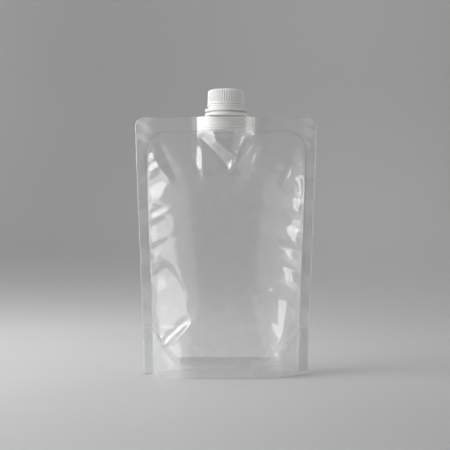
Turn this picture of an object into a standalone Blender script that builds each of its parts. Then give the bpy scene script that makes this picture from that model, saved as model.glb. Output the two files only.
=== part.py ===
"""Clear stand-up pouch with a spout welded into its top seal and a screw cap.

Three webs of film make the pouch: a front panel, a back panel and a bottom gusset that opens
as its foot. The spout's boat-shaped base is held between the panels, and the cap with its
tamper band turns on the spout's neck.

Metres, +Z up, front towards -Y. The origin is the middle of the foot, on the floor.
"""

import math

import bmesh
import bpy
import numpy as np

# Film pouch, outline
TOP_WIDTH = 0.150
BASE_WIDTH = 0.134
FILM_HEIGHT = 0.2105
SIDE_SEAL = 0.008
TOP_SEAL = 0.0115
BOTTOM_SEAL = 0.010
TOP_CORNER_RADIUS = 0.0075
INNER_CORNER_RADIUS = 0.018

# Film pouch, how far it is blown open
BASE_DEPTH = 0.060
TOP_DEPTH = 0.025
CLOSING_HEIGHT = 0.060
BASE_FULLNESS = 4.4
BELLY_FULLNESS = 2.4
FULL_BASE_HEIGHT = 0.065
SPOUT_PLEAT_HEIGHT = 0.036
SPOUT_PLEAT_SIDE = 0.005

# Flat facet low on the front panel's left: its depth at the side seal, then how the plane runs
FACET_STEP = 0.003
FACET_SLOPE = 0.63
FACET_LEAN = 0.12
FACET_MIDDLE = 0.050
FACET_TOP = 0.070
FACET_RUNOUT = 0.25
FACET_EDGE = 0.0004

# Bottom gusset
GUSSET_FOLD = 0.037
CORNER_SEAL_REACH = 0.0205
FOLD_CREASE = 0.0008
FOLD_ROOM = 0.0010
SEAM_RUNOUT = 0.004

# Film and welds
FILM = 0.0002
WELD_GAP = 0.0003

# Spout, from the bore outwards
BORE_RADIUS = 0.0094
BOAT_WALL = 0.00185
BOAT_LENGTH = 0.0476
BOAT_HEIGHT = 0.0110
BOAT_TIP = 0.0020
BOAT_RIBS = 5
BOAT_RIB_DEPTH = 0.0006
STUB_WALL = 0.0010
NECK_WALL = 0.0030
LIP_CHAMFER = 0.0005
NECK_BEAD = 0.0008
NECK_BEAD_HEIGHT = 0.0012
FLANGE_REACH = 0.00485
LOWER_FLANGE = 0.0024
UPPER_FLANGE = 0.0022
FLANGE_GROOVE = 0.0013
GROOVE_REACH = 0.0016

# Cap and tamper band
CAP_WALL = 0.0015
CAP_HEIGHT = 0.0120
CAP_TOP = 0.0015
CAP_EDGE = 0.0026
CAP_FOOT = 0.0024
CAP_RIBS = 52
CAP_RIB_DEPTH = 0.00045
RIB_CREST_SHARE = 0.35
RIB_FLANK_SHARE = 0.15
PLUG_WALL = 0.0010
PLUG_HEIGHT = 0.0030
BAND_WALL = 0.0019
BAND_HEIGHT = 0.0031
BAND_HOOK = 0.0015
BAND_BRIDGE = 0.0003

# Clearance between pieces that touch or run, and how far a cutter passes a face
SEAT_GAP = 0.0003
CUT_MARGIN = 0.001

# Mesh fineness
PANEL_COLUMNS = 26
PANEL_ROWS = 22
CORNER_ROWS = 4
COLUMN_CROWDING = math.radians(50)
GUSSET_WELD_ROWS = 5
BOAT_STEPS = 16
ROUND_STEPS = 48
CROWN_STEPS = 5

# Derived film sizes
WEB_STEP = FILM + WELD_GAP
CORNER_RADIUS = min(TOP_CORNER_RADIUS, 0.95 * min(SIDE_SEAL, TOP_SEAL))

# Derived radii
BOAT_DEPTH = 2 * (BORE_RADIUS + BOAT_WALL)
NECK_RADIUS = BORE_RADIUS + NECK_WALL
BEAD_RADIUS = NECK_RADIUS + NECK_BEAD
FLANGE_RADIUS = NECK_RADIUS + FLANGE_REACH
GROOVE_RADIUS = NECK_RADIUS + GROOVE_REACH
CAP_BORE = BEAD_RADIUS + SEAT_GAP
CAP_RADIUS = CAP_BORE + CAP_WALL
BAND_BORE = BEAD_RADIUS + SEAT_GAP
BAND_HOOK_BORE = NECK_RADIUS + SEAT_GAP
BAND_RADIUS = BAND_BORE + BAND_WALL

# Derived heights
BOAT_BASE = FILM_HEIGHT - BOAT_HEIGHT
LOWER_FLANGE_BASE = FILM_HEIGHT + SEAT_GAP
GROOVE_BASE = LOWER_FLANGE_BASE + LOWER_FLANGE
UPPER_FLANGE_BASE = GROOVE_BASE + FLANGE_GROOVE
NECK_BASE = UPPER_FLANGE_BASE + UPPER_FLANGE
BAND_BASE = NECK_BASE + SEAT_GAP
BEAD_BASE = BAND_BASE + BAND_HOOK + SEAT_GAP
CAP_BASE = BAND_BASE + BAND_HEIGHT + BAND_BRIDGE
CAP_CROWN = CAP_BASE + CAP_HEIGHT
NECK_LIP = CAP_CROWN - CAP_TOP - SEAT_GAP


def clear_scene():
    for obj in list(bpy.data.objects):
        bpy.data.objects.remove(obj, do_unlink=True)


def new_collection(name, hidden=False):
    collection = bpy.data.collections.new(name)
    bpy.context.scene.collection.children.link(collection)
    collection.hide_render = hidden
    return collection


def plastic(name, colour, roughness, alpha=1.0):
    """Principled material of one plain plastic."""
    material = bpy.data.materials.new(name)
    material.use_nodes = True
    shader = material.node_tree.nodes["Principled BSDF"]
    shader.inputs["Base Color"].default_value = (*colour, 1.0)
    shader.inputs["Roughness"].default_value = roughness
    shader.inputs["Metallic"].default_value = 0.0
    shader.inputs["Alpha"].default_value = alpha
    return material


def add_object(name, data, collection, material=None):
    obj = bpy.data.objects.new(name, data)
    collection.objects.link(obj)
    if material is not None:
        data.materials.append(material)
    return obj


def smoothstep(value):
    t = np.clip(value, 0.0, 1.0)
    return t * t * (3.0 - 2.0 * t)


def soft_min(a, b, softness):
    """The lesser of two depths, with the ridge where they cross rounded over softness."""
    return 0.5 * (a + b - np.sqrt((a - b) ** 2 + softness**2))


# Film shape. x runs across, z up, and half depths are measured from the middle plane. The front
# panel is side -1, the back panel side 1.


def straight_half_width(z):
    """Half the pouch's width at height z before its corners are rounded. The foot is upright."""
    share = np.clip((z - BOTTOM_SEAL) / (FILM_HEIGHT - BOTTOM_SEAL), 0.0, 1.0)
    return (BASE_WIDTH + (TOP_WIDTH - BASE_WIDTH) * share) / 2


def half_width(z):
    """Half the pouch's width at height z, with the rounded outer top corner."""
    rise = np.maximum(z - (FILM_HEIGHT - CORNER_RADIUS), 0.0)
    corner = CORNER_RADIUS - np.sqrt(np.maximum(CORNER_RADIUS**2 - rise**2, 0.0))
    return straight_half_width(z) - corner


def inner_half_width(z):
    """Half the width between the side seals at height z."""
    return straight_half_width(z) - SIDE_SEAL


def seal_line(x, z):
    """Height of the top seal's lower edge at x, which turns down into the side seals."""
    into_corner = np.maximum(np.abs(x) - (inner_half_width(z) - INNER_CORNER_RADIUS), 0.0)
    into_corner = np.minimum(into_corner, INNER_CORNER_RADIUS)
    drop = INNER_CORNER_RADIUS - np.sqrt(INNER_CORNER_RADIUS**2 - into_corner**2)
    return FILM_HEIGHT - TOP_SEAL - drop


def boat_half_depth(x):
    """Half the depth of the spout's base at x: two arcs that meet in blunt tips."""
    share = np.clip(np.abs(x) / (BOAT_LENGTH / 2), 0.0, 1.0)
    return BOAT_TIP / 2 + (BOAT_DEPTH - BOAT_TIP) / 2 * (1.0 - share**2)


def pillow_depth(x, z):
    """Half depth of the air between the webs, zero on the seals."""
    across = np.clip(np.abs(x) / inner_half_width(z), 0.0, 1.0)
    fullness = BELLY_FULLNESS + (BASE_FULLNESS - BELLY_FULLNESS) * smoothstep(1.0 - z / FULL_BASE_HEIGHT)
    at_middle = (BASE_DEPTH + (TOP_DEPTH - BASE_DEPTH) * z / FILM_HEIGHT) / 2
    below_seal = np.clip((seal_line(x, z) - z) / CLOSING_HEIGHT, 0.0, 1.0)
    return at_middle * (1.0 - across**fullness) * np.sin(below_seal * math.pi / 2)


def seam_depth(z):
    """Half depth of a panel on the seals: the folded gusset lies between the webs low down."""
    above_fold = smoothstep((z - GUSSET_FOLD - FOLD_ROOM) / SEAM_RUNOUT)
    return WEB_STEP / 2 + WEB_STEP * (1.0 - above_fold)


def facet_depth(x, z):
    """The flat facet low on the front's left: a plane from the side seal, leaning back with height."""
    out = x + inner_half_width(z)
    lean = FACET_LEAN * (z - FACET_MIDDLE) - FACET_RUNOUT * np.maximum(z - FACET_TOP, 0.0)
    return FACET_STEP + FACET_SLOPE * out - lean


def panel_half_depth(x, z, side):
    """Half depth of a panel's mid surface. Its foot stands upright, and its top wraps the boat."""
    foot = np.maximum(z, BOTTOM_SEAL)
    seam = seam_depth(foot)
    pillow = pillow_depth(x, foot)
    if side < 0:
        pillow = np.maximum(soft_min(pillow, facet_depth(x, foot), FACET_EDGE), 0.0)
    beside_boat = smoothstep((BOAT_LENGTH / 2 + SPOUT_PLEAT_SIDE - np.abs(x)) / SPOUT_PLEAT_SIDE)
    wrap = (boat_half_depth(x) + WELD_GAP + FILM / 2 - seam) * beside_boat
    below_seal = np.maximum(FILM_HEIGHT - TOP_SEAL - foot, 0.0)
    fade = np.clip(1.0 - below_seal / SPOUT_PLEAT_HEIGHT, 0.0, 1.0)
    return seam + pillow + wrap * fade


def column_places(z):
    """Places across the film at height z: closer towards the side seals, and their outer edges."""
    angles = np.linspace(-COLUMN_CROWDING, COLUMN_CROWDING, PANEL_COLUMNS + 1)
    inner = np.sin(angles) / math.sin(COLUMN_CROWDING) * inner_half_width(z)
    edge = half_width(z)
    return np.concatenate([[-edge], inner, [edge]])


def panel_section(z, side):
    """A panel's plan at height z, as one (x, y) point a column."""
    x = column_places(z)
    return np.column_stack([x, side * panel_half_depth(x, z, side)])


def inset_section(z, side):
    """A panel's plan drawn one web further in, with mitred turns."""
    points = panel_section(z, side)
    runs = np.diff(points, axis=0)
    runs /= np.linalg.norm(runs, axis=1)[:, None]
    normals = np.column_stack([side * runs[:, 1], -side * runs[:, 0]])
    before = np.vstack([normals[:1], normals])
    after = np.vstack([normals, normals[-1:]])
    middle = before + after
    mitre = 2.0 / np.sum(middle**2, axis=1)[:, None]
    return points + WEB_STEP * middle * mitre


def panel_rows():
    """Heights of a panel's rows: the foot, the body, then the top seal with its round corner."""
    body = np.linspace(BOTTOM_SEAL, FILM_HEIGHT - TOP_SEAL, PANEL_ROWS)
    turns = np.linspace(0.0, math.pi / 2, CORNER_ROWS)
    corner = FILM_HEIGHT - CORNER_RADIUS + CORNER_RADIUS * np.sin(turns)
    return np.concatenate([[0.0], body, corner])


def add_sheet(name, rows, collection, material):
    """A web of film from rows of points, with its thickness as a Solidify modifier."""
    bm = bmesh.new()
    verts = [[bm.verts.new(point) for point in row] for row in rows]
    for low, high in zip(verts, verts[1:]):
        for j in range(len(low) - 1):
            bm.faces.new((low[j], low[j + 1], high[j + 1], high[j]))
    mesh = bpy.data.meshes.new(name)
    bm.to_mesh(mesh)
    bm.free()
    obj = add_object(name, mesh, collection, material)
    thickness = obj.modifiers.new("Film", "SOLIDIFY")
    thickness.thickness = FILM
    thickness.offset = 0.0
    mesh.shade_smooth()
    return obj


def add_panel(name, side, collection, material):
    """A front (side -1) or back (side 1) web."""
    rows = []
    for z in panel_rows():
        rows.append([(x, y, z) for x, y in panel_section(z, side)])
    return add_sheet(name, rows, collection, material)


def corner_seal_height(x):
    """Height up to which the gusset is welded to a panel at x: its diagonal corner seal."""
    edge = inner_half_width(GUSSET_FOLD)
    climb = np.clip((np.abs(x) - edge + CORNER_SEAL_REACH) / CORNER_SEAL_REACH, 0.0, 1.0)
    return BOTTOM_SEAL + (GUSSET_FOLD - BOTTOM_SEAL) * climb


def gusset_column(column):
    """One section of the gusset, from the front foot over the fold to the back foot."""
    top = float(corner_seal_height(column_places(GUSSET_FOLD)[column]))
    climb = (top - BOTTOM_SEAL) / (GUSSET_FOLD - BOTTOM_SEAL)
    crest = WEB_STEP / 2 + FOLD_CREASE * (1.0 - climb)
    halves = []
    for side in (-1, 1):
        half = []
        for z in np.linspace(0.0, top, GUSSET_WELD_ROWS):
            half.append(np.array([*inset_section(z, side)[column], z]))
        rim_x, rim_y, rim_z = half[-1]
        for angle in (math.pi / 6, math.pi / 3):
            half.append(np.array([rim_x, rim_y * math.cos(angle), rim_z + crest * math.sin(angle)]))
        halves.append(half)
    front, back = halves
    fold = np.array([(front[-1][0] + back[-1][0]) / 2, 0.0, top + crest])
    return front + [fold] + back[::-1]


def add_gusset(collection, material):
    columns = [gusset_column(i) for i in range(PANEL_COLUMNS + 3)]
    return add_sheet("bottom_gusset", list(zip(*columns)), collection, material)


# Turned and outlined solids


def turned(name, profile, collection, material=None):
    """A solid turned about Z from (radius, height) points: a closed ring, or a run from axis to axis."""
    mesh = bpy.data.meshes.new(name)
    edges = [(i, i + 1) for i in range(len(profile) - 1)]
    if profile[0][0] > 0.0:
        edges.append((len(profile) - 1, 0))
    mesh.from_pydata([(r, 0.0, z) for r, z in profile], edges, [])
    obj = add_object(name, mesh, collection, material)
    screw = obj.modifiers.new("Turn", "SCREW")
    screw.steps = ROUND_STEPS
    screw.render_steps = ROUND_STEPS
    screw.use_merge_vertices = True
    screw.merge_threshold = 0.00001
    return obj


def outline_solid(name, points, base, height, collection):
    """A flat outline filled and extruded from base up by height, as a mesh."""
    curve = bpy.data.curves.new(name, "CURVE")
    curve.dimensions = "2D"
    curve.fill_mode = "BOTH"
    curve.extrude = height / 2
    spline = curve.splines.new("POLY")
    spline.points.add(len(points) - 1)
    for point, (x, y) in zip(spline.points, points):
        point.co = (x, y, 0.0, 1.0)
    spline.use_cyclic_u = True
    source = add_object(name + "_outline", curve, collection)
    source.location.z = base + height / 2
    bpy.context.view_layer.update()
    evaluated = source.evaluated_get(bpy.context.evaluated_depsgraph_get())
    mesh = bpy.data.meshes.new_from_object(evaluated)
    bm = bmesh.new()
    bm.from_mesh(mesh)
    bmesh.ops.remove_doubles(bm, verts=bm.verts, dist=0.000001)
    bmesh.ops.recalc_face_normals(bm, faces=bm.faces)
    bm.to_mesh(mesh)
    bm.free()
    obj = add_object(name, mesh, collection)
    obj.matrix_world = source.matrix_world
    bpy.data.objects.remove(source, do_unlink=True)
    return obj


def rod(name, radius, base, top, collection):
    """A plain cylinder on the Z axis."""
    bm = bmesh.new()
    bmesh.ops.create_cone(
        bm, cap_ends=True, segments=ROUND_STEPS, radius1=radius, radius2=radius, depth=top - base
    )
    mesh = bpy.data.meshes.new(name)
    bm.to_mesh(mesh)
    bm.free()
    obj = add_object(name, mesh, collection)
    obj.location.z = (base + top) / 2
    return obj


def boolean(obj, other, operation):
    """Joins other to obj or cuts it out. The other solid stays as a hidden guide."""
    other.hide_render = True
    other.display_type = "WIRE"
    modifier = obj.modifiers.new(other.name, "BOOLEAN")
    modifier.operation = operation
    modifier.object = other


def finish(obj, degrees=35.0):
    """Turns the modifiers' result into the object's own mesh, smooth but for its sharp edges."""
    bpy.context.view_layer.update()
    evaluated = obj.evaluated_get(bpy.context.evaluated_depsgraph_get())
    mesh = bpy.data.meshes.new_from_object(evaluated)
    mesh.name = obj.name
    obj.modifiers.clear()
    obj.data = mesh
    mesh.shade_smooth()
    mesh.set_sharp_from_angle(angle=math.radians(degrees))


def boat_outline(inset):
    """The boat's plan, drawn in by inset: two arcs between blunt tips."""
    shares = np.linspace(-1.0, 1.0, BOAT_STEPS + 1)
    half_length = BOAT_LENGTH / 2 - inset
    front = [(s * half_length, inset - float(boat_half_depth(s * BOAT_LENGTH / 2))) for s in shares]
    back = [(x, -y) for x, y in reversed(front)]
    return front + back


def add_boat(cutters):
    """The weld base: a lens-shaped core with level ribs."""
    core = outline_solid("boat_core", boat_outline(BOAT_RIB_DEPTH), BOAT_BASE, BOAT_HEIGHT, cutters)
    pitch = BOAT_HEIGHT / (BOAT_RIBS - 0.5)
    for i in range(BOAT_RIBS):
        rib = outline_solid(f"boat_rib_{i}", boat_outline(0.0), BOAT_BASE + i * pitch, pitch / 2, cutters)
        boolean(core, rib, "UNION")
    return core


def add_spout(collection, cutters, material):
    """The moulding: ribbed boat, two flanges and the neck, with one bore through all."""
    bead_top = BEAD_BASE + NECK_BEAD_HEIGHT
    stub = BORE_RADIUS + STUB_WALL
    root = FILM_HEIGHT - BOAT_HEIGHT / 2
    profile = [
        (0.0, NECK_LIP),
        (NECK_RADIUS - LIP_CHAMFER, NECK_LIP),
        (NECK_RADIUS, NECK_LIP - LIP_CHAMFER),
        (NECK_RADIUS, bead_top + NECK_BEAD),
        (BEAD_RADIUS, bead_top),
        (BEAD_RADIUS, BEAD_BASE),
        (NECK_RADIUS, BEAD_BASE),
        (NECK_RADIUS, NECK_BASE),
        (FLANGE_RADIUS, NECK_BASE),
        (FLANGE_RADIUS, UPPER_FLANGE_BASE),
        (GROOVE_RADIUS, UPPER_FLANGE_BASE),
        (GROOVE_RADIUS, GROOVE_BASE),
        (FLANGE_RADIUS, GROOVE_BASE),
        (FLANGE_RADIUS, LOWER_FLANGE_BASE),
        (stub, LOWER_FLANGE_BASE),
        (stub, root),
        (0.0, root),
    ]
    spout = turned("spout", profile, collection, material)
    boolean(spout, add_boat(cutters), "UNION")
    bore = rod("bore", BORE_RADIUS, BOAT_BASE - CUT_MARGIN, NECK_LIP + CUT_MARGIN, cutters)
    boolean(spout, bore, "DIFFERENCE")
    finish(spout)


def rib_outline(crest, valley):
    """The cap's grip in plan: evenly spaced flat-topped ribs."""
    marks = (
        (0.0, crest),
        (RIB_CREST_SHARE, crest),
        (RIB_CREST_SHARE + RIB_FLANK_SHARE, valley),
        (1.0 - RIB_FLANK_SHARE, valley),
    )
    points = []
    for i in range(CAP_RIBS):
        for share, radius in marks:
            angle = (i + share) / CAP_RIBS * math.tau
            points.append((radius * math.cos(angle), radius * math.sin(angle)))
    return points


def crown_edge(radius):
    """The cap's rounded top edge, from its flat crown out to the wall's radius."""
    points = []
    for angle in np.linspace(math.pi / 2, 0.0, CROWN_STEPS + 1):
        drop = CAP_EDGE * (1.0 - math.sin(angle))
        points.append((radius - CAP_EDGE * (1.0 - math.cos(angle)), CAP_CROWN - drop))
    return points


def add_cap(collection, cutters, material):
    """Cup with a rounded crown, grip ribs, a plain foot, and a plug ring inside."""
    wall = CAP_RADIUS - CAP_RIB_DEPTH
    foot = CAP_BASE + CAP_FOOT
    outside = [
        (0.0, CAP_CROWN),
        *crown_edge(wall),
        (wall, foot),
        (CAP_RADIUS, foot - CAP_RIB_DEPTH),
        (CAP_RADIUS, CAP_BASE),
        (0.0, CAP_BASE),
    ]
    ceiling = CAP_CROWN - CAP_TOP
    plug = BORE_RADIUS - SEAT_GAP
    plug_tip = ceiling - PLUG_HEIGHT
    inside = [
        (0.0, ceiling),
        (plug - PLUG_WALL, ceiling),
        (plug - PLUG_WALL, plug_tip),
        (plug, plug_tip),
        (plug, ceiling),
        (CAP_BORE, ceiling),
        (CAP_BORE, CAP_BASE - CUT_MARGIN),
        (0.0, CAP_BASE - CUT_MARGIN),
    ]
    cap = turned("cap", outside, collection, material)
    grip_height = CAP_CROWN - CAP_EDGE - foot
    ribs = rib_outline(CAP_RADIUS, wall - CAP_RIB_DEPTH)
    boolean(cap, outline_solid("cap_grip", ribs, foot, grip_height, cutters), "UNION")
    boolean(cap, turned("cap_inside", inside, cutters), "DIFFERENCE")
    finish(cap)


def add_band(collection, material):
    """Ring round the neck's bead, with a hook inside that is caught under the bead."""
    top = BAND_BASE + BAND_HEIGHT
    hook_top = BAND_BASE + BAND_HOOK
    profile = [
        (BAND_RADIUS, top),
        (BAND_RADIUS, BAND_BASE),
        (BAND_HOOK_BORE, BAND_BASE),
        (BAND_HOOK_BORE, hook_top),
        (BAND_BORE, hook_top),
        (BAND_BORE, top),
    ]
    finish(turned("tamper_band", profile, collection, material))


def main():
    clear_scene()
    pouch = new_collection("spout_pouch")
    cutters = new_collection("cutters", hidden=True)
    film = plastic("film", (0.80, 0.81, 0.83), 0.12, 0.25)
    natural = plastic("natural_plastic", (0.86, 0.86, 0.84), 0.35)
    white = plastic("white_plastic", (0.90, 0.90, 0.89), 0.38)
    add_panel("front_panel", -1, pouch, film)
    add_panel("back_panel", 1, pouch, film)
    add_gusset(pouch, film)
    add_spout(pouch, cutters, natural)
    add_band(pouch, white)
    add_cap(pouch, cutters, white)


main()
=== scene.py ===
"""Looks of the clear spout pouch: film webs, moulded spout, tamper band and screw cap.

Metres, +Z up, front towards -Y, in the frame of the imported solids.
"""

import math

import bmesh
import bpy
import numpy as np
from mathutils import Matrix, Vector


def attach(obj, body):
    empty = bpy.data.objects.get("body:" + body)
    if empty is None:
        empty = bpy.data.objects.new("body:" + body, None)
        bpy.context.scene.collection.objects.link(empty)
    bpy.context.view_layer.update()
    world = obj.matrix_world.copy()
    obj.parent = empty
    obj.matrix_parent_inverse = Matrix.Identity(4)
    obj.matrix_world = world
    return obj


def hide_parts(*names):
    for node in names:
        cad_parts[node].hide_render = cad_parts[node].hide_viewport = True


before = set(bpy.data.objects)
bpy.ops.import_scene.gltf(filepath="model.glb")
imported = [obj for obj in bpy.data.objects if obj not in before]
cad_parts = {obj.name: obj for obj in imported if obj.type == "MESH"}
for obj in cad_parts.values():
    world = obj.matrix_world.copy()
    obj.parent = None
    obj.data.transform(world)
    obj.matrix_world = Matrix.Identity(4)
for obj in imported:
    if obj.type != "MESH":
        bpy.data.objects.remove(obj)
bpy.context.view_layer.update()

MM = 0.001

# Film pouch
TOP_WIDTH = 150 * MM
BASE_WIDTH = 134 * MM
FILM_HEIGHT = 210.5 * MM
SIDE_SEAL = 8 * MM
TOP_SEAL = 11.5 * MM
BOTTOM_SEAL = 10 * MM
CORNER_RADIUS = 7.5 * MM
INNER_CORNER_RADIUS = 18 * MM
BASE_DEPTH = 60 * MM
TOP_DEPTH = 25 * MM
BELLY_FULLNESS = 2.4
FOOT_FULLNESS = 4.4
FULL_FOOT_HEIGHT = 65 * MM
CLOSING_HEIGHT = 60 * MM
WRAP_HEIGHT = 36 * MM
WRAP_SIDE = 5 * MM
GUSSET_FOLD = 37 * MM
CORNER_SEAL_REACH = 20.5 * MM
FILM = 0.16 * MM
WEB_STEP = 0.5 * MM
SOFT_EDGE = 0.6 * MM
LEFT_CURL = 2.6 * MM
RIGHT_CURL = 2.8 * MM
FOOT_LIFT = 3.4 * MM

# Facet low on the left: its plane, then where it is let go
FACET_STEP = 3.0 * MM
FACET_SLOPE = 0.63
FACET_LEAN = 0.12
FACET_MIDDLE = 50 * MM
FACET_EDGE = 0.4 * MM
FACET_RIGHT = 33.5 * MM
FACET_RIGHT_SLOPE = 0.7
FACET_STREAK = (-26 * MM, 47 * MM)

# Lobes along the side seals: heights of ridges and valleys by turns, in millimetres
FRONT_LEFT_TURNS = (95, 101, 106, 119, 125, 130, 139, 157, 164, 170, 174, 181)
FRONT_RIGHT_TURNS = (73, 82, 91, 98, 105, 116, 131, 141, 153, 164)
BACK_LEFT_TURNS = (30, 42, 52, 64, 76, 90, 97, 112, 119, 136, 143, 158, 166, 180, 190, 197)
BACK_RIGHT_TURNS = (26, 38, 50, 66, 72, 86, 98, 112, 124, 139, 147, 160, 170, 182, 190, 197)

# Creases: start (x, z), end (x, z), depth and width, in millimetres
FRONT_CREASES = (
    # From the top corners
    ((-69, 191), (-40, 150), 1.0, 3.0),
    ((-60, 199), (-38, 156), -0.8, 2.5),
    ((62, 192), (43, 148), 1.0, 3.0),
    # Below the spout
    ((-26, 200), (6, 164), -2.2, 3.0),
    ((-11, 202), (-7, 186), 1.7, 1.6),
    ((-9, 191), (8, 177), 2.2, 1.6),
    ((8, 182), (3, 164), 1.8, 1.6),
    ((20, 201), (5, 172), -2.0, 4.0),
    ((-21, 190), (-17, 154), 0.9, 2.6),
    ((-28, 181), (-20, 158), -0.6, 2.4),
    ((29, 197), (12, 152), 1.6, 2.8),
    ((20, 192), (9, 158), -1.0, 2.4),
    # Low on the left
    ((-28, 50), (-52, 27), -1.2, 1.8),
    ((-25, 45), (-47, 24), 0.9, 1.4),
    ((-54, 33), (-49, 22), 0.8, 1.2),
    # Low on the right
    ((21, 66), (47, 33), -0.5, 3.4),
    ((19, 65), (38, 70), 1.4, 2.6),
    ((50, 36), (18, 8), 1.2, 2.2),
    # Low down, left of the middle
    ((-29, 27), (-12, 8), -0.5, 1.6),
)
BACK_CREASES = (
    ((-24, 196), (-8, 160), 1.2, 3.0),
    ((24, 196), (6, 164), 1.2, 3.0),
    ((0, 201), (0, 176), -2.0, 7.0),
    ((-50, 28), (-24, 56), -1.0, 2.4),
    ((50, 28), (26, 52), -1.0, 2.4),
)

# Spout, band and cap
NECK_RADIUS = 12.4 * MM
BOAT_LENGTH = 47.6 * MM
BOAT_DEPTH = 22.5 * MM
BOAT_TIP = 2.0 * MM
BOAT_BASE = 199.5 * MM
BOAT_TOP = 210.5 * MM
BOAT_RIB_WAVES = 4.5
BOAT_RIB_DEPTH = 0.6 * MM
BOAT_EDGE = 0.25 * MM
THREAD_START = 221.9 * MM
THREAD_PITCH = 3.6 * MM
THREAD_TURNS = 2.1
THREAD_DEPTH = 0.75 * MM
CAP_RIBS = 52
CAP_RIB_DEPTH = 0.6 * MM
CAP_RIB_FOOT = 221.5 * MM
CAP_RIB_TOP = 231.6 * MM
CAP_RIB_INSIDE = 13.9 * MM
BRIDGES = 12
BRIDGE_RADIUS = 14.4 * MM
BRIDGE_BASE = 220.08 * MM
BRIDGE_HEIGHT = 0.34 * MM
BRIDGE_GIRTH = 0.28 * MM

# Sections turned about Z: (radius, height, fillet), in millimetres
NECK_SECTION = (
    (9.4, 221.0, 0), (9.4, 199.6, 0.2), (10.3, 199.6, 0.2), (10.3, 210.75, 0.15),
    (17.25, 210.8, 0.5), (17.25, 213.2, 0.5), (14.0, 213.2, 0.3), (14.0, 214.5, 0.3),
    (17.25, 214.5, 0.5), (17.25, 216.7, 0.5), (12.4, 216.7, 0.2), (12.4, 218.8, 0.1),
    (13.2, 218.8, 0.15), (13.2, 220.0, 0.2), (12.4, 220.8, 0.2), (12.4, 230.6, 0.35),
    (9.4, 230.6, 0.35), (9.4, 221.0, 0),
)
CAP_SECTION = (
    (0.0, 230.9, 0), (8.1, 230.9, 0.3), (8.1, 227.9, 0.3), (9.1, 227.9, 0.3), (9.1, 230.9, 0.3),
    (13.45, 230.9, 0.3), (13.55, 220.4, 0.2), (15.15, 220.4, 0.25), (15.15, 221.3, 0.2),
    (15.0, 221.6, 0.2), (14.75, 232.4, 2.6), (0.0, 232.4, 0),
)
BAND_SECTION = (
    (13.6, 219.5, 0), (13.6, 218.6, 0.1), (12.8, 218.4, 0.15), (12.8, 217.05, 0.2),
    (14.3, 217.05, 0.25), (14.3, 218.5, 0.2), (15.4, 218.8, 0.35), (15.4, 220.1, 0.35),
    (13.6, 220.1, 0.2), (13.6, 219.5, 0),
)

# Mesh fineness
FILM_COLUMNS = 176
FILM_ROWS = 232
CORNER_ROWS = 13
CLIMB_ROWS = 40

# Stage, lights and camera
WALL_START = 0.42
WALL_BEND = 0.34
# Painted shade in the backdrop's tones: the floor is darker near the camera and to the right, and the
# wall is darker than the floor and darker on its left, where less light falls
FLOOR_NEAR_LEFT = (0.70, 0.705, 0.71, 1.0)
FLOOR_FAR_LEFT = (0.86, 0.865, 0.87, 1.0)
FLOOR_NEAR_RIGHT = (0.54, 0.54, 0.54, 1.0)
FLOOR_FAR_RIGHT = (0.68, 0.68, 0.68, 1.0)
WALL_LEFT = (0.31, 0.305, 0.305, 1.0)
WALL_RIGHT = (0.465, 0.46, 0.46, 1.0)
LIGHT_AIM = (0.0, 0.0, 0.14)
LIGHTS = (
    # name, place, aim, size and radiance
    ("softbox_left", (-1.12, -0.36, 0.66), LIGHT_AIM, (0.98, 0.7), 6.2),
    ("softbox_left_skirt", (-1.12, -0.36, 0.16), LIGHT_AIM, (0.98, 0.3), 2.8),
    ("veil_left", (-0.94, -1.17, 0.50), LIGHT_AIM, (0.58, 1.0), 0.6),
    ("softbox_right", (1.15, -0.42, 0.36), LIGHT_AIM, (0.32, 0.62), 4.2),
    ("veil_right", (1.04, -1.08, 0.50), LIGHT_AIM, (0.86, 1.0), 0.55),
    ("softbox_top", (0.05, 0.55, 1.5), (0.05, 0.45, 0.0), (1.4, 1.2), 1.7),
)
CAMERA_PLACE = (-0.8 * MM, -890 * MM, 122 * MM)
CAMERA_LENS = 86.9
CAMERA_SENSOR = 36.0


def smoothstep(value):
    """0 below 0, 1 above 1, and 3t^2 - 2t^3 between."""
    t = np.clip(value, 0.0, 1.0)
    return t * t * (3.0 - 2.0 * t)


def soft_min(a, b, softness):
    """The lesser of two heights, with the ridge where they cross rounded over softness."""
    return 0.5 * (a + b - np.sqrt((a - b) ** 2 + softness**2))


# Meshes from grids of points


def grid_object(name, points, close_columns=False, masks=None):
    """An object from a (rows, columns, 3) grid of points, one face a cell.

    Faces look along columns cross rows. A closed grid joins its last column to its first, and
    rings that have shrunk to a point are welded. Masks are (rows, columns) values kept on the
    vertices for the materials.
    """
    rows, columns = points.shape[:2]
    index = np.arange(rows * columns).reshape(rows, columns)
    right = np.roll(index, -1, axis=1) if close_columns else index[:, 1:]
    left = index if close_columns else index[:, :-1]
    quads = np.stack([left[:-1], right[:-1], right[1:], left[1:]], axis=-1).reshape(-1, 4)
    mesh = bpy.data.meshes.new(name)
    mesh.vertices.add(rows * columns)
    mesh.vertices.foreach_set("co", points.astype(np.float32).ravel())
    mesh.loops.add(quads.size)
    mesh.loops.foreach_set("vertex_index", quads.astype(np.int32).ravel())
    mesh.polygons.add(len(quads))
    mesh.polygons.foreach_set("loop_start", np.arange(0, quads.size, 4, dtype=np.int32))
    mesh.update(calc_edges=True)
    for mask_name, values in (masks or {}).items():
        mesh.attributes.new(mask_name, "FLOAT", "POINT").data.foreach_set(
            "value", values.astype(np.float32).ravel()
        )
    weld_poles(mesh)
    mesh.validate()
    mesh.shade_smooth()
    obj = bpy.data.objects.new(name, mesh)
    bpy.context.scene.collection.objects.link(obj)
    return obj


def weld_poles(mesh):
    """Merges vertices that lie on each other, which closes the poles and the seams."""
    bm = bmesh.new()
    bm.from_mesh(mesh)
    bmesh.ops.remove_doubles(bm, verts=bm.verts, dist=0.002 * MM)
    bm.to_mesh(mesh)
    bm.free()


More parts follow.
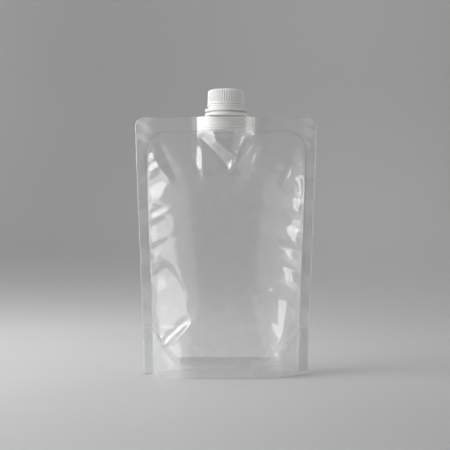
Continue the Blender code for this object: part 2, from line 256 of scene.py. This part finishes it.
def filleted(corners, steps=6):
    """Points of a section through corners (radius, height, fillet) in millimetres.

    Each inner corner becomes an arc tangent to both its sides: the directions from the arc's
    centre to its two ends are blended by sines, as on a great circle.
    """
    corners = np.asarray(corners, dtype=float)
    place, fillet = corners[:, :2] * MM, corners[1:-1, 2:3] * MM
    before, here, after = place[:-2], place[1:-1], place[2:]
    to_before = (before - here) / np.linalg.norm(before - here, axis=1, keepdims=True)
    to_after = (after - here) / np.linalg.norm(after - here, axis=1, keepdims=True)
    half = np.arccos(np.clip(np.sum(to_before * to_after, axis=1, keepdims=True), -1, 1)) / 2
    bisector = to_before + to_after
    bisector /= np.linalg.norm(bisector, axis=1, keepdims=True)
    centre = here + bisector * fillet / np.sin(half)
    reach = fillet / np.tan(half)
    first, last = here + to_before * reach - centre, here + to_after * reach - centre
    turn = (math.pi - 2 * half)[:, None]
    share = np.linspace(0.0, 1.0, steps + 1)[None, :, None]
    arc = np.sin((1 - share) * turn) * first[:, None] + np.sin(share * turn) * last[:, None]
    arc = centre[:, None] + arc / np.sin(turn)
    return np.vstack([place[:1], arc.reshape(-1, 2), place[-1:]])


def turned_object(name, section, around=144, swell=None):
    """A section of (radius, height) turned about Z, with an optional radial swell(angle, row)."""
    angle = np.linspace(0.0, math.tau, around, endpoint=False)[None, :]
    radius = np.repeat(section[:, :1], around, axis=1)
    if swell is not None:
        radius = radius + swell(angle, section[:, :1], section[:, 1:2])
    height = np.repeat(section[:, 1:2], around, axis=1)
    points = np.stack([radius * np.cos(angle), radius * np.sin(angle), height], axis=-1)
    return grid_object(name, points, close_columns=True)


def refined(section, step):
    """A section with more points, none further than step apart."""
    runs = np.linalg.norm(np.diff(section, axis=0), axis=1)
    travel = np.concatenate([[0.0], np.cumsum(runs)])
    extra = np.arange(0.0, travel[-1], step)
    marks = np.unique(np.concatenate([travel, extra]))
    marks = marks[np.concatenate([[True], np.diff(marks) > 0.02 * MM])]
    marks[-1] = travel[-1]
    return np.stack([np.interp(marks, travel, section[:, k]) for k in (0, 1)], axis=1)


# Film shape. x runs across, z up, and depths are measured from the middle plane.


def straight_half_width(z):
    """Half the pouch's width at height z before its corners are rounded. The foot is upright."""
    share = np.clip((z - BOTTOM_SEAL) / (FILM_HEIGHT - BOTTOM_SEAL), 0.0, 1.0)
    return (BASE_WIDTH + (TOP_WIDTH - BASE_WIDTH) * share) / 2


def half_width(z):
    """Half the pouch's width at height z, with the rounded outer top corner."""
    rise = np.maximum(z - (FILM_HEIGHT - CORNER_RADIUS), 0.0)
    return straight_half_width(z) - CORNER_RADIUS + np.sqrt(np.maximum(CORNER_RADIUS**2 - rise**2, 0.0))


def inner_half_width(z):
    """Half the width between the side seals at height z."""
    return straight_half_width(z) - SIDE_SEAL


def seal_line(x, z):
    """Height of the top seal's lower edge at x, which turns down into the side seals."""
    into_corner = np.abs(x) - (inner_half_width(z) - INNER_CORNER_RADIUS)
    into_corner = np.clip(into_corner, 0.0, INNER_CORNER_RADIUS)
    return FILM_HEIGHT - TOP_SEAL - INNER_CORNER_RADIUS + np.sqrt(INNER_CORNER_RADIUS**2 - into_corner**2)


def boat_half_depth(x):
    """Half the depth of the spout's weld base at x: two arcs that meet in blunt tips."""
    share = np.clip(np.abs(x) / (BOAT_LENGTH / 2), 0.0, 1.0)
    return BOAT_TIP / 2 + (BOAT_DEPTH - BOAT_TIP) / 2 * (1.0 - share**2)


def pillow_depth(x, z):
    """Half depth of the air between the webs, zero on the seals."""
    across = np.clip(np.abs(x) / inner_half_width(z), 0.0, 1.0)
    foot = smoothstep(1.0 - z / FULL_FOOT_HEIGHT)
    fullness = BELLY_FULLNESS + (FOOT_FULLNESS - BELLY_FULLNESS) * foot
    middle = (BASE_DEPTH + (TOP_DEPTH - BASE_DEPTH) * z / FILM_HEIGHT) / 2
    below_seal = np.clip((seal_line(x, z) - z) / CLOSING_HEIGHT, 0.0, 1.0)
    return middle * (1.0 - across**fullness) * np.sin(below_seal * math.pi / 2)


def seam_depth(z):
    """Half depth of a web on the seals: the folded gusset lies between the webs low down."""
    above_fold = smoothstep((z - GUSSET_FOLD - 1 * MM) / (4 * MM))
    return WEB_STEP / 2 + WEB_STEP * (1.0 - above_fold)


def crease(x, z, start, end, depth, width, fade=0.25):
    """A straight crease from start to end, in millimetres: a cusp across, faded at both ends.

    depth times exp(-distance / width); depth is positive for a ridge and negative for a valley.
    """
    start, end = np.array(start) * MM, np.array(end) * MM
    run = end - start
    length = math.hypot(*run)
    along = ((x - start[0]) * run[0] + (z - start[1]) * run[1]) / length**2
    off = ((x - start[0]) * run[1] - (z - start[1]) * run[0]) / length
    sharp = np.sqrt(off**2 + (0.5 * MM) ** 2) - 0.5 * MM
    ends = smoothstep(along / fade) * smoothstep((1.0 - along) / fade)
    return depth * MM * np.exp(-sharp / (width * MM)) * ends


def puckers(x, z, side, turns, slant, height, reach):
    """Faceted lobes along one side seal: a zigzag up the seam between turns, dying inwards.

    turns are heights in millimetres, a ridge and a valley by turns. A lobe's upper face leans
    back. The lobes grow from the seal's edge to reach, then decay.
    """
    inwards = np.maximum(inner_half_width(z) - side * x, 0.0)
    places = np.array(turns) * MM
    level = np.interp(z - slant * inwards, places, (np.arange(len(places)) + 1) % 2)
    swell = inwards / (reach * MM) * np.exp(1.0 - inwards / (reach * MM))
    foot = smoothstep((z - places[0] + 12 * MM) / (12 * MM))
    top = smoothstep((places[-1] + 6 * MM - z) / (12 * MM))
    return height * MM * level * swell * foot * top


def wrinkle_noise(x, z, seed, count, depth):
    """Faint random wrinkles: a sum of slanted waves, each swelling in its own patch."""
    random = np.random.default_rng(seed)
    total = np.zeros_like(x)
    for _ in range(count):
        centre = random.uniform((-60 * MM, 15 * MM), (60 * MM, 195 * MM))
        angle = random.normal(math.pi / 2, 0.7)
        wave = random.uniform(9 * MM, 26 * MM)
        spread = random.uniform(9 * MM, 24 * MM)
        off = (x - centre[0]) * math.cos(angle) + (z - centre[1]) * math.sin(angle)
        away = (x - centre[0]) ** 2 + (z - centre[1]) ** 2
        total += np.sin(off / wave * math.tau + random.uniform(0, math.tau)) * np.exp(-away / spread**2)
    return depth * MM * total


def creases(x, z, lines):
    """The sum of creases, each (start, end, depth, width)."""
    return sum(crease(x, z, *line) for line in lines)


def left_facet(x, z):
    """The flat facet low on the left: a plane that leans back with height and is let go at its ends.

    Past its right edge, which runs up towards the seal in a curve, it climbs out to the pillow.
    Above, it is let go slowly, then fast, and below it ends on the upper of the left streaks.
    """
    out = x + inner_half_width(z)
    right = FACET_RIGHT - np.maximum(z - 45 * MM, 0.0) ** 2 / (105 * MM)
    plane = FACET_STEP + FACET_SLOPE * out - FACET_LEAN * (z - FACET_MIDDLE)
    plane = plane + FACET_RIGHT_SLOPE * np.maximum(out - right, 0.0)
    slowly = np.maximum(z - 60 * MM, 0.0) ** 2 / (560 * MM)
    fast = 0.5 * np.maximum(z - 79 * MM - 0.7 * out, 0.0)
    streak = FACET_STREAK[1] + 0.92 * (x - FACET_STREAK[0])
    return plane + (slowly + fast) + 0.8 * np.maximum(streak - z, 0.0)


def front_shape(pillow, loose, x, z):
    """The front web: its pillow with lobes, the left facet and the creases, where the film is loose."""
    pillow = pillow + loose * puckers(x, z, -1, FRONT_LEFT_TURNS, 0.5, 1.2, 5)
    pillow = pillow + loose * puckers(x, z, 1, FRONT_RIGHT_TURNS, 0.4, 1.5, 6)
    pillow = soft_min(pillow, left_facet(x, z), FACET_EDGE)
    return pillow + loose * creases(x, z, FRONT_CREASES)


def back_shape(pillow, loose, x, z):
    """The back web: its pillow with lobes and creases. x is as seen from the front."""
    pillow = pillow + loose * puckers(x, z, -1, BACK_LEFT_TURNS, 0.4, 1.2, 8)
    pillow = pillow + loose * puckers(x, z, 1, BACK_RIGHT_TURNS, 0.5, 1.2, 8)
    return pillow + loose * creases(x, z, BACK_CREASES)


def web_depth(x, z, shape, seed):
    """Depth of a web's middle surface from the middle plane.

    The pillow and its folds, with the wrap round the spout's base let down over WRAP_HEIGHT, on
    top of the seal's own depth. The foot stands upright.
    """
    foot = np.maximum(z, BOTTOM_SEAL)
    seam = seam_depth(foot)
    pillow = pillow_depth(x, foot)
    loose = smoothstep(pillow / (2.0 * MM)) * smoothstep((foot - BOTTOM_SEAL) / (8 * MM))
    pillow = shape(pillow, loose, x, foot) + loose * wrinkle_noise(x, foot, seed, 60, 0.05)
    pillow = np.maximum(pillow, 0.0)
    beside_boat = smoothstep((BOAT_LENGTH / 2 + WRAP_SIDE - np.abs(x)) / WRAP_SIDE)
    wrap = (boat_half_depth(x) + 0.3 * MM + FILM / 2 - seam) * beside_boat
    below = np.maximum(FILM_HEIGHT - TOP_SEAL - foot, 0.0)
    fade = np.clip(1.0 - below / WRAP_HEIGHT, 0.0, 1.0)
    return seam + pillow + wrap * fade


def web_rows():
    """Heights of a web's rows: even over the body and crowded round the top corner's arc."""
    body = np.linspace(0.0, FILM_HEIGHT - CORNER_RADIUS, FILM_ROWS - CORNER_ROWS)
    turns = np.linspace(0.0, math.pi / 2, CORNER_ROWS)[1:]
    return np.concatenate([body, FILM_HEIGHT - CORNER_RADIUS + CORNER_RADIUS * np.sin(turns)])


def web_columns(z):
    """Places across the film at height z: even between the seals, and eight on each seal."""
    inner = np.linspace(-1.0, 1.0, FILM_COLUMNS - 16)[None, :] * inner_half_width(z)
    share = np.linspace(0.0, 1.0, 9)[None, 1:]
    outer = inner_half_width(z) + (half_width(z) - inner_half_width(z)) * share
    return np.concatenate([-outer[:, ::-1], inner, outer], axis=1)


def settle(x, y, z):
    """The pouch's stance, as the photograph shows it.

    The side seals wave a little, the top corners curl back, the foot's right corner lifts, and
    the film's top edge bows beside the spout.
    """
    edge = smoothstep((np.abs(x) - 40 * MM) / (35 * MM))
    wave = np.sin(z / (31 * MM) * math.tau + np.where(x > 0, 0.6, 2.1))
    wave = wave * smoothstep((z - 30 * MM) / (40 * MM))
    y = y + 0.5 * MM * edge * wave * smoothstep((FILM_HEIGHT - z) / (40 * MM))
    shoulder = smoothstep((z - 172 * MM) / (28 * MM))
    curl = shoulder * smoothstep((np.abs(x) - 59 * MM) / (16 * MM))
    y = y + curl * np.where(x < 0, LEFT_CURL, RIGHT_CURL)
    y = y + curl * 0.45 * MM * np.sin((z + 0.5 * x) / (11 * MM) * math.tau)
    corner = smoothstep((x - 45 * MM) / (23 * MM)) * smoothstep(1.0 - z / (45 * MM))
    z = z + FOOT_LIFT * corner
    top = smoothstep((z - 195 * MM) / (15 * MM)) * smoothstep((np.abs(x) - 26 * MM) / (10 * MM))
    z = z + 0.5 * MM * top * np.sin((x + 25 * MM) / (58 * MM) * math.pi)
    return x, y, z


def weld_mask(x, z):
    """1 on the welded seals and 0 on the loose film, with soft edges."""
    side = smoothstep((np.abs(x) - inner_half_width(z)) / SOFT_EDGE + 0.5)
    top = smoothstep((z - seal_line(x, z)) / SOFT_EDGE + 0.5)
    bottom = smoothstep((corner_seal_height(x) - z) / SOFT_EDGE + 0.5)
    return np.maximum(np.maximum(side, top), bottom)


def corner_seal_height(x):
    """Height up to which the gusset is welded to a web at x: its diagonal corner seal."""
    edge = inner_half_width(GUSSET_FOLD)
    climb = np.clip((np.abs(x) - edge + CORNER_SEAL_REACH) / CORNER_SEAL_REACH, 0.0, 1.0)
    return BOTTOM_SEAL + (GUSSET_FOLD - BOTTOM_SEAL) * climb**1.2


def add_web(name, side, shape, seed):
    """A front (side -1) or back (side 1) web: a grid of points with the film's thickness."""
    z = web_rows()[:, None]
    x = web_columns(z)
    z = np.repeat(z, x.shape[1], axis=1)
    y = side * web_depth(x, z, shape, seed)
    mask = weld_mask(x, z)
    points = np.stack(settle(x, y, z), axis=-1)
    if side > 0:
        points, mask = points[:, ::-1], mask[:, ::-1]
    web = grid_object(name, points, masks={"weld": mask})
    add_thickness(web)
    return web


def add_thickness(web):
    """The film's thickness, half to each side of the drawn surface."""
    film = web.modifiers.new("Film", "SOLIDIFY")
    film.thickness = FILM
    film.offset = 0.0
    film.use_rim = True


def inset_depth(x, climb, shape, seed):
    """Depth of the gusset where it lies inside a web: one step in, measured square to the web."""
    depth = web_depth(np.repeat(x, len(climb), axis=0), climb, shape, seed)
    slope = np.gradient(depth, x[0], axis=1)
    return np.maximum(depth - WEB_STEP * np.sqrt(1.0 + slope**2), 0.12 * MM)


def add_gusset():
    """The bottom web: up inside the front panel's foot, over the opened fold and down the back.

    Each column climbs the front web's inset shape to the corner seal, crosses to the back web's in
    a flat arch with shallow ripples from side to side, and runs down it.
    """
    x = web_columns(np.full((1, 1), GUSSET_FOLD))[:, ::2]
    top = corner_seal_height(x)
    climb = np.linspace(0.0, 1.0, CLIMB_ROWS)[:, None] * top
    front = inset_depth(x, climb, front_shape, 4)
    back = inset_depth(x, climb, back_shape, 9)
    middle = (back[-1:] - front[-1:]) / 2
    reach = (back[-1:] + front[-1:]) / 2
    turns = np.linspace(0.0, math.pi, 62)[1:-1, None]
    crest = (0.3 + 0.9 * (1.0 - (top - BOTTOM_SEAL) / (GUSSET_FOLD - BOTTOM_SEAL))) * MM
    ripple = 0.35 * MM * np.sin(x / (19 * MM) * math.tau) * np.sin(turns * 3) * (reach / (30 * MM))
    arch_y = middle - reach * np.cos(turns)
    arch_z = top + crest * np.sin(turns) + ripple
    y = np.concatenate([-front, arch_y, back[::-1]])
    z = np.concatenate([climb, arch_z, climb[::-1]])
    columns = np.repeat(x, len(y), axis=0)
    welded = np.concatenate([np.ones_like(climb), np.zeros_like(arch_y), np.ones_like(climb)])
    side = smoothstep((np.abs(columns) - inner_half_width(z)) / SOFT_EDGE + 0.5)
    mask = np.maximum(welded, side)
    points = np.stack(settle(columns, y, z), axis=-1)
    gusset = grid_object("film_gusset", points, masks={"weld": mask})
    add_thickness(gusset)
    return gusset


# Spout, band and cap


def add_neck():
    """Flanges and neck of the spout, turned from a filleted section, with the bore left open."""
    return turned_object("spout_neck", filleted(NECK_SECTION), 120)


def add_thread():
    """Screw thread on the neck: a rounded ridge carried along a helix and faded at its ends."""
    turn = np.linspace(0.0, THREAD_TURNS * math.tau, 400)[None, :]
    around = np.linspace(0.0, math.tau, 10, endpoint=False)[:, None]
    fade = np.clip(np.minimum(turn, turn[:, -1:] - turn) / 0.5, 0.02, 1.0)
    bulge = np.maximum(np.cos(around), -0.3)
    radius = NECK_RADIUS - 0.05 * MM + THREAD_DEPTH * bulge * fade
    climb = THREAD_PITCH * turn / math.tau
    height = THREAD_START + climb + THREAD_DEPTH * np.sin(around) * fade
    points = np.stack([radius * np.cos(turn), radius * np.sin(turn), height], axis=-1)
    points = np.transpose(points, (1, 0, 2))
    ends = points[[0, -1]].mean(axis=1, keepdims=True).repeat(points.shape[1], axis=1)
    points = np.concatenate([ends[:1], points, ends[1:]])[::-1]
    return grid_object("neck_thread", points, close_columns=True)


def add_boat():
    """Weld base of the spout: its lens outline carried up, drawn in between five level ribs.

    The outline is a closed run of points; each level is scaled in by a smooth square wave of the
    height, and the top and bottom close on the middle line.
    """
    share = np.linspace(-1.0, 1.0, 61)
    x = np.sin(share * math.pi / 2) * BOAT_LENGTH / 2
    front = np.stack([x, -boat_half_depth(x)], axis=1)
    plan = np.concatenate([front, -front[1:-1]])
    levels = np.linspace(0.0, 1.0, 89)
    wave = np.cos(levels * BOAT_RIB_WAVES * math.tau)
    rib = 0.5 + 0.5 * np.tanh(3.0 * wave)
    draw = BOAT_RIB_DEPTH * (1.0 - rib)
    edge = np.minimum(levels, 1.0 - levels) * (BOAT_TOP - BOAT_BASE)
    draw = draw + BOAT_EDGE * (1.0 - smoothstep(edge / BOAT_EDGE))
    shrink_x = 1.0 - draw / (BOAT_LENGTH / 2)
    shrink_y = 1.0 - draw / (BOAT_DEPTH / 2)
    height = BOAT_BASE + levels * (BOAT_TOP - BOAT_BASE)
    lip = np.array([0.9, 0.6, 0.3, 0.0])
    shrink_x = np.concatenate([lip[::-1] * shrink_x[0], shrink_x, lip * shrink_x[-1]])
    shrink_y = np.concatenate([lip[::-1] * shrink_y[0], shrink_y, lip * shrink_y[-1]])
    height = np.concatenate([np.full(4, height[0]), height, np.full(4, height[-1])])
    points = np.stack([
        plan[None, :, 0] * shrink_x[:, None],
        plan[None, :, 1] * shrink_y[:, None],
        np.repeat(height[:, None], len(plan), axis=1),
    ], axis=-1)
    return grid_object("spout_boat", points, close_columns=True)


def grip_ribs(angle, radius, height):
    """Fine upright ribs of the cap: a rounded square wave round the wall, faded at foot and crown."""
    wave = np.cos(angle * CAP_RIBS)
    rib = 0.5 * (1.0 + np.tanh(2.2 * wave) / math.tanh(2.2))
    outside = smoothstep((radius - CAP_RIB_INSIDE) / (0.5 * MM))
    foot = smoothstep((height - CAP_RIB_FOOT) / (1.2 * MM))
    crown = smoothstep((CAP_RIB_TOP - height) / (1.4 * MM))
    return -CAP_RIB_DEPTH * (1.0 - rib) * outside * foot * crown


def add_cap():
    """Screw cap: a tapered cup with a rounded crown, fine ribs and a plug ring inside."""
    section = refined(filleted(CAP_SECTION, 8), 0.45 * MM)
    return turned_object("screw_cap", section, CAP_RIBS * 12, grip_ribs)


def add_band():
    """Tamper band: a thin ring with a narrower skirt below, hooked under the neck's bead."""
    return turned_object("band_ring", filleted(BAND_SECTION), 144)


def add_bridges():
    """Small bridges that join the band to the cap: oval pegs on a circle, joined as one piece."""
    centre = np.linspace(0.0, math.tau, BRIDGES, endpoint=False)[:, None, None]
    around = np.linspace(0.0, math.tau, 8, endpoint=False)[None, None, :]
    level = np.array([0.0, 0.0, 1.0, 1.0])[None, :, None]
    girth = np.array([0.0, 1.0, 1.0, 0.0])[None, :, None] * BRIDGE_GIRTH
    out = BRIDGE_RADIUS + girth * np.cos(around)
    aside = girth * 1.6 * np.sin(around)
    x = out * np.cos(centre) - aside * np.sin(centre)
    y = out * np.sin(centre) + aside * np.cos(centre)
    z = np.broadcast_to(BRIDGE_BASE + level * BRIDGE_HEIGHT, x.shape)
    pegs = np.stack([x, y, z], axis=-1)
    made = [grid_object(f"bridge_{i:02d}", peg, close_columns=True) for i, peg in enumerate(pegs)]
    first = made[0]
    with bpy.context.temp_override(active_object=first, selected_editable_objects=made, object=first):
        bpy.ops.object.join()
    first.name = "band_bridges"
    return first


# Materials


class Socket:
    """One output of a material's nodes, or a number, on which arithmetic adds Math nodes."""

    def __init__(self, finish, output):
        self.finish = finish
        self.output = output

    def _math(self, operation, *values):
        inputs = {i: value for i, value in enumerate(values)}
        return self.finish.add("Math", {"operation": operation}, inputs)

    def __add__(self, other):
        return self._math("ADD", self, other)

    def __radd__(self, other):
        return self._math("ADD", other, self)

    def __sub__(self, other):
        return self._math("SUBTRACT", self, other)

    def __rsub__(self, other):
        return self._math("SUBTRACT", other, self)

    def __mul__(self, other):
        return self._math("MULTIPLY", self, other)

    def __rmul__(self, other):
        return self._math("MULTIPLY", other, self)

    def __pow__(self, other):
        return self._math("POWER", self, other)

    def ramp(self, low, high):
        """0 where the value is low, 1 where it is high, smooth between."""
        settings = {"interpolation_type": "SMOOTHSTEP"}
        return self.finish.add("MapRange", settings, {"Value": self, "From Min": low, "From Max": high})


class Finish:
    """One material and its nodes. Each method that adds a node gives back its output as a Socket."""

    def __init__(self, name):
        self.material = bpy.data.materials.new(name)
        self.material.use_nodes = True
        self.tree = self.material.node_tree
        self.tree.nodes.clear()

    def add(self, kind, settings, inputs, output=0):
        """Adds one node. Its settings come first, then the values or links of its inputs."""
        node = self.tree.nodes.new("ShaderNode" + kind)
        for key, value in settings.items():
            setattr(node, key, value)
        for key, value in inputs.items():
            if isinstance(value, Socket):
                self.tree.links.new(value.output, node.inputs[key])
            else:
                node.inputs[key].default_value = value
        return Socket(self, node.outputs[output])

    def place(self):
        """The point on the surface, in metres."""
        return self.add("TexCoord", {}, {}, "Object")

    def noise(self, scale, detail=2.0, stretch=None):
        """Noise over the surface, about 0.5 on average, with scale in cells a metre."""
        where = self.place()
        if stretch is not None:
            where = self.add("Mapping", {}, {"Vector": where, "Scale": stretch})
        return self.add("TexNoise", {}, {"Vector": where, "Scale": scale, "Detail": detail})

    def bump(self, height, distance, strength=1.0):
        """A normal from a height field; distance is in metres."""
        return self.add("Bump", {}, {"Height": height, "Distance": distance, "Strength": strength})

    def mix(self, share, low, high):
        """A colour between low, where the share is 0, and high, where it is 1."""
        return self.add("Mix", {"data_type": "RGBA"}, {0: share, 6: low, 7: high}, 2)

    def close(self, shader):
        """Ends the material on a shader and gives the material back."""
        node = self.tree.nodes.new("ShaderNodeOutputMaterial")
        self.tree.links.new(shader.output, node.inputs["Surface"])
        return self.material


def clear_film(name):
    """Clear laminated film: it lets light straight through, with gloss, some haze and mottled welds.

    The gloss is a sharp and a broad one mixed, and follows Schlick's rule from the facing angle.
    The haze is a thin milky share, greater on the welds, where fine cloudy mottling shows the
    melted layers. A weld's edge is a little duller.
    """
    finish = Finish(name)
    weld = finish.add("Attribute", {"attribute_name": "weld"}, {}, "Fac")
    facing = finish.add("LayerWeight", {}, {"Blend": 0.5}, "Facing")
    gloss = 0.05 + 0.95 * facing**5.0
    cloud = finish.noise(170.0, 3.0).ramp(0.35, 0.75)
    mottle = finish.noise(900.0, 2.0).ramp(0.45, 0.7)
    haze = 0.058 + 0.02 * cloud + weld * (0.02 + 0.04 * mottle)
    ripples = finish.noise(60.0, 2.0, (1.0, 1.0, 0.35))
    grain = finish.noise(700.0, 2.0)
    height = ripples * 0.5 + weld * grain * 0.08
    normal = finish.bump(height, 0.5 * MM, 0.5)
    through = finish.add("BsdfTransparent", {}, {"Color": (1.0, 1.0, 1.0, 1.0)})
    milk = finish.add("BsdfDiffuse", {}, {"Color": (0.9, 0.905, 0.92, 1.0)})
    edge = weld * (1.0 - weld) * 0.35
    dull = finish.add("BsdfDiffuse", {}, {"Color": (0.3, 0.3, 0.31, 1.0)})
    body = finish.add("MixShader", {}, {0: haze, 1: through, 2: milk})
    body = finish.add("MixShader", {}, {0: edge, 1: body, 2: dull})
    mirror = {"Base Color": (1.0, 1.0, 1.0, 1.0), "Metallic": 1.0, "Normal": normal}
    sharp = finish.add("BsdfPrincipled", {}, {**mirror, "Roughness": 0.09 + weld * 0.1})
    broad = finish.add("BsdfPrincipled", {}, {**mirror, "Roughness": 0.42})
    shine = finish.add("MixShader", {}, {0: 0.35, 1: sharp, 2: broad})
    return finish.close(finish.add("MixShader", {}, {0: gloss, 1: body, 2: shine}))


def moulded_plastic(name, colour, roughness, depth):
    """Moulded plastic: even colour with a faint cloudiness, fine satin grain and some light inside."""
    finish = Finish(name)
    cloud = finish.noise(260.0, 3.0)
    darker = [channel * 0.97 for channel in colour]
    tone = finish.mix(cloud, (*darker, 1.0), (*colour, 1.0))
    grain = finish.noise(5200.0, 2.0)
    shader = finish.add(
        "BsdfPrincipled", {}, {
            "Base Color": tone,
            "Roughness": roughness + 0.08 * (cloud - 0.5),
            "Subsurface Weight": 0.35,
            "Subsurface Radius": (1.0, 0.95, 0.85),
            "Subsurface Scale": depth,
            "Normal": finish.bump(grain, 0.03 * MM, 0.35),
        },
    )
    return finish.close(shader)


def dress(obj, material):
    """Gives an object its one material."""
    obj.data.materials.clear()
    obj.data.materials.append(material)
    return obj


film = clear_film("clear_film")
natural = moulded_plastic("natural_plastic", (0.86, 0.86, 0.83), 0.36, 2.5 * MM)
white = moulded_plastic("white_plastic", (0.90, 0.90, 0.89), 0.40, 0.35 * MM)

front = dress(add_web("film_front", -1, front_shape, 4), film)
back = dress(add_web("film_back", 1, back_shape, 9), film)
gusset = dress(add_gusset(), film)
neck = dress(add_neck(), natural)
boat = dress(add_boat(), natural)
thread = dress(add_thread(), natural)
cap = dress(add_cap(), white)
band = dress(add_band(), white)
bridges = dress(add_bridges(), white)

for piece in (front, back, gusset, neck, boat, thread):
    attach(piece, "pouch")
for piece in (band, bridges):
    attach(piece, "tamper_band")
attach(cap, "cap")
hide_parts("front_panel")
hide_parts("back_panel")
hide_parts("bottom_gusset")
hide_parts("spout")
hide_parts("spout")
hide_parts("tamper_band")
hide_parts("cap")


# Stage, lights and camera


def add_stage():
    """A floor that bends up into a backdrop: floor, quarter circle and wall as one section."""
    turns = np.linspace(0.0, math.pi / 2, 24)
    floor_y = np.linspace(-2.2, WALL_START - 0.01, 12)
    wall_z = np.linspace(WALL_BEND + 0.05, 2.4, 6)
    wall_y = np.full(6, WALL_START + WALL_BEND)
    y = np.concatenate([floor_y, WALL_START + WALL_BEND * np.sin(turns), wall_y])
    z = np.concatenate([np.zeros(12), WALL_BEND * (1 - np.cos(turns)), wall_z])
    x = np.linspace(-2.4, 2.4, 9)
    points = np.stack(np.broadcast_arrays(x[None, :], y[:, None], z[:, None]), axis=-1)
    return grid_object("backdrop", points)


def backdrop_painted_shade():
    """Pale satin floor with painted shade: darker near the camera and to the right, greying into a darker
    wall that is lighter on its right, as the light falls off.
    """
    finish = Finish("backdrop_painted_shade")
    across = finish.add("SeparateXYZ", {}, {0: finish.place()}, 0)
    depth = finish.add("SeparateXYZ", {}, {0: finish.place()}, 1)
    # Painted shade: these ramps darken the floor towards the camera and to the right, and grey it into
    # the wall, where less light falls
    far = depth.ramp(-0.35, 0.2)
    left = finish.mix(far, FLOOR_NEAR_LEFT, FLOOR_FAR_LEFT)
    right = finish.mix(far, FLOOR_NEAR_RIGHT, FLOOR_FAR_RIGHT)
    floor = finish.mix(across.ramp(-0.25, 0.3), left, right)
    wall = finish.mix(across.ramp(-0.3, 0.3), WALL_LEFT, WALL_RIGHT)
    tone = finish.mix(depth.ramp(0.38, 0.66), floor, wall)
    shader = finish.add("BsdfPrincipled", {}, {"Base Color": tone, "Roughness": 0.55})
    return finish.close(shader)


def add_light(name, place, aim, size, radiance):
    """A rectangular area light of the given radiance, turned towards a point."""
    light = bpy.data.lights.new(name, "AREA")
    light.shape = "RECTANGLE"
    light.size, light.size_y = size
    light.energy = radiance * math.pi * size[0] * size[1]
    lamp = bpy.data.objects.new(name, light)
    lamp.location = place
    towards = Vector(aim) - Vector(place)
    lamp.rotation_euler = towards.to_track_quat("-Z", "Y").to_euler()
    bpy.context.scene.collection.objects.link(lamp)


dress(add_stage(), backdrop_painted_shade())
for light in LIGHTS:
    add_light(*light)

world = bpy.data.worlds.new("studio")
world.use_nodes = True
background = world.node_tree.nodes["Background"]
background.inputs["Color"].default_value = (0.62, 0.62, 0.63, 1.0)
background.inputs["Strength"].default_value = 0.05
bpy.context.scene.world = world

camera_data = bpy.data.cameras.new("camera")
camera_data.lens = CAMERA_LENS
camera_data.sensor_width = CAMERA_SENSOR
camera = bpy.data.objects.new("camera", camera_data)
camera.location = CAMERA_PLACE
camera.rotation_euler = (math.pi / 2, 0.0, 0.0)
bpy.context.scene.collection.objects.link(camera)
bpy.context.scene.camera = camera
bpy.context.scene.view_settings.view_transform = "Standard"
bpy.context.scene.cycles.transparent_max_bounces = 40
